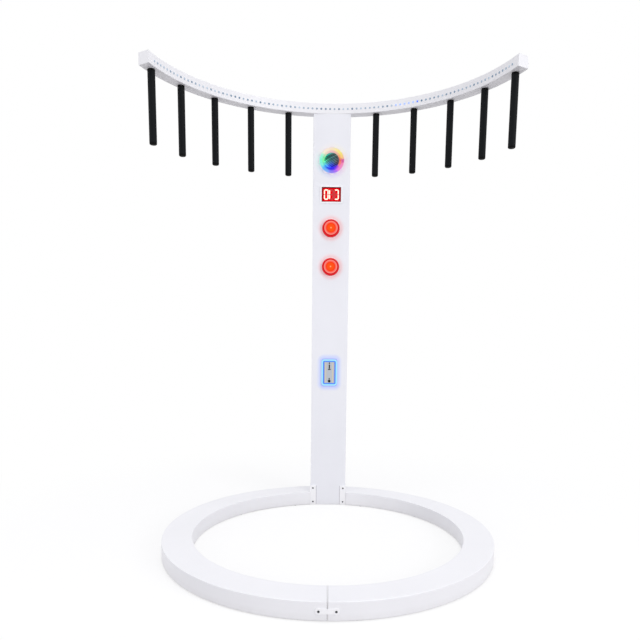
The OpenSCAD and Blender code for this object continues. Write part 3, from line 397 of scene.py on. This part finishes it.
def stick_rubber():
    """Matt black rubber with darker caps at both ends of a stick."""
    material, tree, surface = start_material(
        "moulded_rubber_stick", Roughness=0.6, IOR=1.52, Specular_IOR_Level=0.1,
    )
    point = add(tree, "TexCoord", {}, "Object")
    cells = grain(tree, surface, point, SKIN_MM, SKIN_DEPTH_MM, detail=1.0)
    low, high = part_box(STICKS[0])
    height = add(tree, "SeparateXYZ", {0: point}, "Z")
    offset = add(tree, "Math", {0: height, 1: (low.z + high.z) / 2}, operation="SUBTRACT")
    away = add(tree, "Math", {0: offset}, operation="ABSOLUTE")
    cap = add(tree, "Math", {0: away, 1: (high.z - low.z) / 2 - CAP_L}, operation="GREATER_THAN")
    feed(surface, {"Base Color": layered(tree, "#0A0C0E", [(cells, "#121518"), (cap, "#040405")])})
    return material


def plain_grained(name, dark, light, cell_mm, depth_mm, roughness, specular):
    """A moulded surface: two near shades in fine cells, with the same cells raised."""
    material, tree, surface = start_material(
        name, Roughness=roughness, IOR=1.5, Specular_IOR_Level=specular,
    )
    point = add(tree, "TexCoord", {}, "Object")
    cells = grain(tree, surface, point, cell_mm, depth_mm, detail=4.0)
    feed(surface, {"Base Color": layered(tree, dark, [(cells, light)])})
    return material


dress(stick_rubber(), *STICKS)
feet = {"cell_mm": 1.5, "depth_mm": 0.05, "roughness": 0.8, "specular": 0.3}
dress(plain_grained("foot_rubber", "#101010", "#232323", **feet), "base_feet")

# %% [markdown]
# ## Moulded plastic
# Black ABS is a little glossier than rubber and has a spark-eroded grain of about 1 mm. The control
# board is glass fibre under green solder mask, and the rocker switch is gloss red.

# %% Moulded plastic
BLACK_PARTS = [
    "power_inlet", "button_switches", "coin_return_button", "coin_mechanism", "speaker_driver",
]
PLASTICS = [
    # name, darker and lighter shade, cell and depth in millimetres, roughness, specular level, nodes
    ("black_abs", "#08090A", "#141517", 1.0, 0.03, 0.45, 0.2, BLACK_PARTS),
    ("green_solder_mask", "#0B3B22", "#14532F", 3.0, 0.02, 0.35, 0.5, ["control_board"]),
    ("gloss_red_rocker", "#B8121A", "#C81820", 2.0, 0.005, 0.15, 0.5, ["power_rocker"]),
    ("pale_bezel_abs", "#FAFBFD", "#F2F4F8", 1.0, 0.02, 0.3, 0.5, ["display_bezel"]),
]
for *finish, dressed in PLASTICS:
    dress(plain_grained(*finish), *dressed)

# %% [markdown]
# ## Bare metal
# Magnet poles, hinges, the lock and the cash box are plated steel. Plating shows the rolled grain
# below it as fine parallel lines, so the noise is stretched along one axis. Screws are blackened.

# %% Bare metal
ROLLED_MM = 0.8  # real lines are finer, but they would only flicker at this size
ROLLED_DEPTH_MM = 0.01
LINE_DETAIL = 3.0
STRETCH = 0.03
COIN_SCREW_DOWN = 6.5 * MM
COIN_SCREW_R = 9 * MM
COIN_SCREW_FADE = 3 * MM


def rolled_steel(name, dark, light, roughness, blackest=lambda tree, point: []):
    """Plated steel with a rolled grain that runs along Z. Some places can be blacker than the rest."""
    material, tree, surface = start_material(name, Metallic=1.0, Roughness=roughness)
    point = add(tree, "TexCoord", {}, "Object")
    stretched = add(tree, "Mapping", {"Vector": point, "Scale": (1.0, 1.0, STRETCH)})
    lines = grain(tree, surface, stretched, ROLLED_MM, ROLLED_DEPTH_MM, LINE_DETAIL)
    feed(surface, {"Base Color": layered(tree, dark, [(lines, light)] + blackest(tree, point))})
    return material


dress(
    rolled_steel("zinc_plated_steel", "#A9ABAE", "#C9CBCE", roughness=0.32),
    "electromagnets", "door_hinges", "lock_housing", "door_lock", "coin_box", "power_supply", *HEADS,
)


def coin_screw(tree, point):
    """The screw at the top of the coin plate is quite black."""
    low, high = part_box("coin_plate")
    head = Vector((coin.x, low.y, high.z - COIN_SCREW_DOWN))
    edge = COIN_SCREW_R + COIN_SCREW_FADE
    return [(reach(tree, point, head, COIN_SCREW_R, edge), "#060607")]


dress(
    rolled_steel("blackened_steel", "#343537", "#4C4E52", roughness=0.42, blackest=coin_screw),
    "fasteners",
)

# %% [markdown]
# ## Lights along the beam
# Each light is a small clear lens over a diode. Most are off and look grey-blue, a few to the right
# of the middle are lit. Every light should differ a little, as real ones do. A random number for each
# light comes from its number along the beam, which is its angle divided by the spacing.

# %% Lights along the beam
BEAM_R = 850 * MM
LIGHT_PITCH = 24.4 * MM
LIGHT_STEP = LIGHT_PITCH / BEAM_R
BEAM_CENTRE = (0.0, COLUMN_FRONT - BEAM_R, 0.0)
LIT_MIDDLE, LIT_SPREAD = math.radians(27.1), math.radians(3.8)
BRIGHT_MIDDLE, BRIGHT_SPREAD = math.radians(32.1), math.radians(0.8)


def lens_material():
    """Clear lenses over diodes, pale or grey-blue when off, all with a faint painted glow."""
    material, tree, surface = start_material(
        "clear_led_lens", Roughness=0.2, IOR=1.5, Specular_IOR_Level=0.3,
    )
    point = add(tree, "TexCoord", {}, "Object")
    offset = add(tree, "VectorMath", {0: point, 1: BEAM_CENTRE}, operation="SUBTRACT")
    axes = add(tree, "SeparateXYZ", {0: offset}, "X").node
    angle = add(tree, "Math", {0: axes.outputs["X"], 1: axes.outputs["Y"]}, operation="ARCTAN2")
    steps = add(tree, "Math", {0: angle, 1: LIGHT_STEP}, operation="DIVIDE")
    number = add(tree, "Math", {0: steps}, operation="FLOOR")
    chance = add(tree, "TexWhiteNoise", {"W": number}, "Value", noise_dimensions="1D")
    lit = add(tree, "Math", {0: angle, 1: LIT_MIDDLE, 2: LIT_SPREAD}, operation="COMPARE")
    bright = add(tree, "Math", {0: angle, 1: BRIGHT_MIDDLE, 2: BRIGHT_SPREAD}, operation="COMPARE")
    lens = layered(tree, "#647C92", [(chance, "#B4C2CF"), (lit, "#A6BEFF"), (bright, "#5078F0")])
    # All lenses glow a little, the lenses that are off too: painted light.
    feed(surface, {"Base Color": lens, "Emission Color": lens, "Emission Strength": 0.3})
    return material


dress(lens_material(), "led_pixels")

# %% [markdown]
# ## The lit ring round the speaker
# The ring is frosted acrylic with coloured diodes behind it. Frosting spreads the light, so the whole
# ring glows. The surface gives off the colour itself, which is simpler and cleaner than many small
# lamps inside a scattering solid, and it still throws its light on the paint beside it.

# %% The lit ring round the speaker
DEEP_W = 4 * MM
PALE_FROM = 13 * MM
EDGE_W = 9 * MM


def ring_material():
    """Frosted acrylic, lit in colours that follow the direction, paler towards the rim."""
    material, tree, surface = start_material(
        "frosted_acrylic_ring", Roughness=0.4, IOR=ACRYLIC_IOR, Specular_IOR_Level=0.1,
    )
    point = add(tree, "TexCoord", {}, "Object")
    inner = reach(tree, point, speaker, grille_r + DEEP_W, ring_r - PALE_FROM)
    outer = reach(tree, point, speaker, ring_r - EDGE_W, ring_r)
    inner_hues = colours_round(tree, point, RING_INNER)
    outer_hues = colours_round(tree, point, RING_OUTER)
    hues = layered(tree, "#F2E6F2", [(outer, outer_hues), (inner, inner_hues)])
    feed(surface, {"Base Color": "#202226", "Emission Color": hues, "Emission Strength": 0.92})
    return material


dress(ring_material(), "speaker_light_ring")

# %% [markdown]
# The grille is glossy black plastic. Its slats catch the colours of the ring beside them: green on
# the left, blue below and a dull teal elsewhere, and each slat catches a different share of them. The
# catch is drawn as a glow, because the ring's own glow is too faint to show on black at this exposure.

# %% Speaker grille
GRILLE_CATCH = [
    (0.00, "#48D49A"), (0.06, "#50C8B0"), (0.12, "#4C90D0"), (0.18, "#3A62F0"), (0.25, "#2620F0"),
    (0.31, "#3818D8"), (0.38, "#3C3480"), (0.46, "#4A3440"), (0.55, "#4A5056"), (0.66, "#54706A"),
    (0.75, "#4C8480"), (0.84, "#249080"), (0.92, "#0C9474"), (1.00, "#48D49A"),
]
SLAT_TILT = math.radians(28)
SLAT_STEP = 7.5 * MM
SLAT_SHADE = 0.7
TEAL_R = 12 * MM


def grille_material():
    """Glossy black plastic that catches the ring's colours, most near its rim."""
    material, tree, surface = start_material(
        "gloss_black_grille", Roughness=0.25, IOR=1.5, Specular_IOR_Level=0.2,
    )
    point = add(tree, "TexCoord", {}, "Object")
    offset = add(tree, "VectorMath", {0: point, 1: speaker}, operation="SUBTRACT")
    across = {0: offset, 1: (-math.sin(SLAT_TILT), 0, math.cos(SLAT_TILT))}
    across = add(tree, "VectorMath", across, "Value", operation="DOT_PRODUCT")
    slat = add(tree, "Math", {0: across, 1: 1 / SLAT_STEP}, operation="MULTIPLY")
    slat = add(tree, "Math", {0: slat}, operation="FLOOR")
    chance = add(tree, "TexWhiteNoise", {"W": slat}, "Value", noise_dimensions="1D")
    shade = add(tree, "Math", {0: chance, 1: SLAT_SHADE}, operation="MULTIPLY")
    centre = reach(tree, point, speaker, TEAL_R, grille_r)
    layers = [(centre, "#447478"), (shade, "#06080A")]
    hues = layered(tree, colours_round(tree, point, GRILLE_CATCH), layers)
    feed(surface, {"Base Color": "#101214", "Emission Color": hues, "Emission Strength": 1.9})
    return material


dress(grille_material(), "speaker_grille")

# %% [markdown]
# ## Score display
# A seven-segment display shows cream bars on a red field, behind a red acrylic window. The field is
# darker along its edges, and the bars that are off are a dull pink. They stand a little proud of the
# field, so their depth tells them apart. The window gets an anti-reflective coat, drawn as a dark
# specular tint. Without it the mirror image of the pale room would veil the digits.

# %% Score display
FIELD_FRONT = COLUMN_FRONT + 4 * MM
BAR_PROUD = 0.15 * MM
BOARD_BEHIND = 1 * MM
DARK_EDGE = 9 * MM
DARKEST_EDGE = 1 * MM
CLOUD_MM = 18
UNEVEN_MM = 9


def digit_board():
    """The digit blocks and the board behind them glow red, and are darker along the edges."""
    material, tree, surface = start_material(
        "red_digit_block", Roughness=0.45, IOR=1.5, Specular_IOR_Level=0.05,
    )
    point = add(tree, "TexCoord", {}, "Object")
    depth = add(tree, "SeparateXYZ", {0: point}, "Y")
    behind = add(tree, "Math", {0: depth, 1: FIELD_FRONT + BOARD_BEHIND}, operation="GREATER_THAN")
    bar = add(tree, "Math", {0: depth, 1: FIELD_FRONT - BAR_PROUD}, operation="LESS_THAN")
    past = past_frame(tree, point, display, half_size("display_window"), DARK_EDGE)
    ends = {"Value": past, "From Min": -DARK_EDGE, "From Max": -DARKEST_EDGE}
    edge = add(tree, "MapRange", ends)
    clouds = add(tree, "TexNoise", {"Vector": point, "Scale": per_metre(CLOUD_MM)})
    layers = [(clouds, "#D60A18"), (bar, "#B2585C"), (behind, "#B40812"), (edge, "#540206")]
    field = layered(tree, "#F4101C", layers)
    feed(surface, {"Base Color": "#1A0204", "Emission Color": field, "Emission Strength": 1.1})
    return material


def lit_bars():
    """Cream light bars, a little uneven along their length."""
    material, tree, surface = start_material("lit_segment", Roughness=0.4)
    point = add(tree, "TexCoord", {}, "Object")
    uneven = add(tree, "TexNoise", {"Vector": point, "Scale": per_metre(UNEVEN_MM)})
    cream = layered(tree, "#FFFFF6", [(uneven, "#FFF8E4")])
    feed(surface, {"Base Color": "#5A5246", "Emission Color": cream, "Emission Strength": 1.9})
    return material


window, _, _ = start_material(
    "red_acrylic_window", Roughness=0.04, IOR=ACRYLIC_IOR, Transmission_Weight=1.0,
    Base_Color="#FFD8D2", Specular_Tint="#202020",
)
dress(window, "display_window")
dress(lit_bars(), "display_lit_segments")
dress(digit_board(), "display_board")

# %% [markdown]
# ## Push buttons
# A button has three finishes of the same clear red plastic: a deep red base, a frosted dome that
# spreads the lamp's light to a salmon pink, and an orange disc over the lamp itself. The glow falls
# from the middle outwards, so each band says at which distance from the button's axis a colour
# starts and where it has taken over.

# %% Push buttons
DOME_BANDS = [
    (disc_r, disc_r + 4 * MM, "#F27468"),
    (disc_r + 6 * MM, dome_r - 7 * MM, "#F69A90"),
    (dome_r - 7 * MM, dome_r - 4 * MM, "#C80A16"),
]
DISC_BANDS = [
    (2 * MM, 6 * MM, "#FF5008"),
    (disc_r - 9 * MM, disc_r - 4 * MM, "#FF3C00"),
    (disc_r - 3 * MM, disc_r, "#F43008"),
]


def lit_plastic(name, centre, inner, bands, roughness, strength):
    """Clear plastic over a lamp, with bands of colour round the button's axis."""
    material, tree, surface = start_material(
        name, Roughness=roughness, IOR=ACRYLIC_IOR, Specular_IOR_Level=0.08,
    )
    point = add(tree, "TexCoord", {}, "Object")
    flat = add(tree, "VectorMath", {0: point, 1: (1.0, 0.0, 1.0)}, operation="MULTIPLY")
    axis = (centre.x, 0.0, centre.z)
    away = add(tree, "VectorMath", {0: flat, 1: axis}, "Value", operation="DISTANCE")
    hues = banded(tree, away, inner, bands)
    feed(surface, {"Base Color": "#5A100A", "Emission Color": hues, "Emission Strength": strength})
    return material


for name, centre in buttons.items():
    finish = {"inner": "#F05C4C", "bands": DOME_BANDS, "roughness": 0.35, "strength": 0.98}
    dress(lit_plastic("frosted_red_dome_" + name, centre, **finish), name + "_button_dome")
    finish = {"inner": "#FFB070", "bands": DISC_BANDS, "roughness": 0.3, "strength": 1.0}
    dress(lit_plastic("orange_lens_" + name, centre, **finish), name + "_button_disc")

# %% [markdown]
# The base is moulded in a deeper red of the same plastic. Some of the lamp's light runs through it
# to its front edge, so the edge is brighter than the wall behind it.

# %% Button bases
RIM_BANDS = [(COLUMN_FRONT - 17 * MM, COLUMN_FRONT - 4 * MM, "#B0040E")]


def base_plastic():
    """Deep red clear plastic that carries some light to its front edge."""
    material, tree, surface = start_material(
        "deep_red_base", Roughness=0.25, IOR=ACRYLIC_IOR, Specular_IOR_Level=0.1,
    )
    point = add(tree, "TexCoord", {}, "Object")
    depth = add(tree, "SeparateXYZ", {0: point}, "Y")
    red = banded(tree, depth, "#D80C16", RIM_BANDS)
    feed(surface, {"Base Color": "#4A0408", "Emission Color": red, "Emission Strength": 1.0})
    return material


dress(base_plastic(), "button_bases")

# %% [markdown]
# ## Coin unit
# The frame is frosted acrylic with a strip of blue diodes along its inner edge: deep blue against the
# plate, then a bright cyan band, then a lavender edge.

# %% Lit frame of the coin unit
PLATE_CORNER = 2 * MM
FRAME_BANDS = [(5.25 * MM, 9 * MM, "#A8F0FF"), (13.175 * MM, 17.05 * MM, "#A4B2FF")]


def coin_frame_material():
    """Frosted acrylic lit from its inner edge."""
    material, tree, surface = start_material(
        "frosted_acrylic_frame", Roughness=0.4, IOR=ACRYLIC_IOR, Specular_IOR_Level=0.3,
    )
    point = add(tree, "TexCoord", {}, "Object")
    past = past_frame(tree, point, coin, half_size("coin_plate"), PLATE_CORNER)
    hues = banded(tree, past, "#3A84FF", FRAME_BANDS)
    feed(surface, {"Base Color": "#2C3036", "Emission Color": hues, "Emission Strength": 0.95})
    return material


dress(coin_frame_material(), "coin_light_frame")

# %% [markdown]
# The plate is die-cast zinc with a satin nickel finish. Its raised middle band is brushed upright. The
# lower strips at its sides carry a painted warm reflection, and its edges a painted reflection of the
# frame's blue. The boss below the slot and the pointer are blackened, and the slot's recess is near
# black as painted shade. A brushed metal could also be drawn with anisotropy, but at this size fine
# upright lines are enough.

# %% Coin plate
BAND_HALF_W = 17.5 * MM
STRIP_END = 25.5 * MM
BLEND = 1 * MM
BRUSHED_MM, BRUSHED_DEPTH_MM = 0.6, 0.015  # as coarse as the rolled lines, for the same reason
MARKS = [
    # height above the middle, half width, half height and corner in millimetres, and colour
    (18.5, 8.3, 3.5, 3.4, "#4A4C50"),  # boss below the slot
    (-36.5, 3.6, 4.8, 1.0, "#5E6268"),  # pointer over the return button
    # the slot's near black is painted shade in its recess
    (35.0, 3.5, 12.5, 3.4, "#08080A"),  # slot
]


def marked(tree, point, up, half_w, half_h, corner):
    """One inside a small rounded rectangle that lies some way above the coin unit's middle."""
    centre = coin + Vector((0, 0, up)) * MM
    past = past_frame(tree, point, centre, Vector((half_w, 0, half_h)) * MM, corner * MM)
    return add(tree, "Math", {0: past, 1: 0.0}, operation="LESS_THAN")


def coin_plate_material():
    """Satin nickel on die-cast zinc, brushed upright, with painted reflections at its sides."""
    material, tree, surface = start_material("satin_nickel", Metallic=0.9, Roughness=0.34)
    point = add(tree, "TexCoord", {}, "Object")
    stretched = add(tree, "Mapping", {"Vector": point, "Scale": (1.0, 1.0, STRETCH)})
    lines = grain(tree, surface, stretched, BRUSHED_MM, BRUSHED_DEPTH_MM, LINE_DETAIL)
    across = off_middle(tree, point)
    layers = [(lines, "#C6CBD3")]
    # Painted reflections: warm light on the lower side strips, the frame's blue along the plate's
    # edges.
    for side, colour in ((BAND_HALF_W, "#D2C9B6"), (STRIP_END, "#A6ACD4")):
        ends = {"Value": across, "From Min": side - BLEND, "From Max": side + BLEND}
        layers.append((add(tree, "MapRange", ends), colour))
    layers += [(marked(tree, point, *place), colour) for *place, colour in MARKS]
    feed(surface, {"Base Color": layered(tree, "#AEB4BD", layers)})
    return material


dress(coin_plate_material(), "coin_plate")

# %% [markdown]
# ## Floor
# A plain pale floor keeps the object's shadow. To the camera it is almost white, and wholly white
# further off, so no horizon shows. The light that it throws back on the object is that of a plain
# light grey floor.

# %% Floor
FLOOR_HALF = 15.0
SHADOW_NEAR, SHADOW_FAR, SHADOW_SHARE = 1.0, 2.6, 0.35
floor_mesh = bpy.data.meshes.new("floor")
sides = [(-1, -1), (1, -1), (1, 1), (-1, 1)]
corners = [(x * FLOOR_HALF, y * FLOOR_HALF, 0) for x, y in sides]
floor_mesh.from_pydata(corners, [], [(0, 1, 2, 3)])
floor = bpy.data.objects.new("floor", floor_mesh)
bpy.context.scene.collection.objects.link(floor)


def seen_directly(tree):
    """One for rays from the camera, or seen in gloss or through glass, and nothing for other rays."""
    path = add(tree, "LightPath", {}, "Is Camera Ray").node
    pair = {0: path.outputs["Is Camera Ray"], 1: path.outputs["Is Glossy Ray"]}
    seen = {0: add(tree, "Math", pair, operation="MAXIMUM"), 1: path.outputs["Is Transmission Ray"]}
    return add(tree, "Math", seen, operation="MAXIMUM")


def floor_material():
    """White with a soft shadow to the eye, light grey to the object that stands on it."""
    material, tree, _ = start_material("pale_floor")
    point = add(tree, "TexCoord", {}, "Object")
    near = reach(tree, point, (0, 0, 0), SHADOW_NEAR, SHADOW_FAR, SHADOW_SHARE)
    white = add(tree, "Emission", {"Color": "#FFFFFF", "Strength": 1.0})
    matt = add(tree, "BsdfDiffuse", {"Color": "#FFFFFF"})
    bright = add(tree, "MixShader", {0: near, 1: white, 2: matt})
    plain = add(tree, "BsdfDiffuse", {"Color": "#C4C2C3"})
    mixed = add(tree, "MixShader", {0: seen_directly(tree), 1: plain, 2: bright})
    feed(tree.nodes["Material Output"], {"Surface": mixed})
    return material


floor_mesh.materials.append(floor_material())
print("floor", 2 * FLOOR_HALF, "m across")

# %% [markdown]
# ## Light
# A pale room gives most of the light. A large soft lamp hangs high above, so high that the beam gets
# hardly more of it than the ring. A second stands far off in front and to the right, so the faces that
# look that way are brighter, and a weak one on the left keeps the other faces only a little grey.

# %% Light
world = bpy.data.worlds.new("studio")
bpy.context.scene.world = world
world.use_nodes = True
tree = world.node_tree
room = add(tree, "Background", {"Color": "#F4F4F8", "Strength": 0.84})
blank = add(tree, "Background", {"Color": "#FFFFFF", "Strength": 1.0})
mixed = add(tree, "MixShader", {0: seen_directly(tree), 1: room, 2: blank})
feed(tree.nodes["World Output"], {"Surface": mixed})


def area_light(name, place, target, size, watts):
    """A soft square lamp that looks at a point."""
    data = bpy.data.lights.new(name, "AREA")
    data.size = size
    data.energy = watts
    lamp = bpy.data.objects.new(name, data)
    lamp.location = place
    lamp.rotation_euler = (Vector(target) - Vector(place)).to_track_quat("-Z", "Y").to_euler()
    bpy.context.scene.collection.objects.link(lamp)


RING_MIDDLE = (0.0, 0.0, 0.0)
COLUMN_MIDDLE = (0.0, 0.3, 1.2)
area_light("top_softbox", (0.5, -1.5, 10.0), RING_MIDDLE, size=6.0, watts=140)
area_light("side_softbox", (5.4, -5.4, 2.8), COLUMN_MIDDLE, size=3.5, watts=185)
area_light("fill_softbox", (-6.0, -4.0, 2.2), COLUMN_MIDDLE, size=3.5, watts=75)
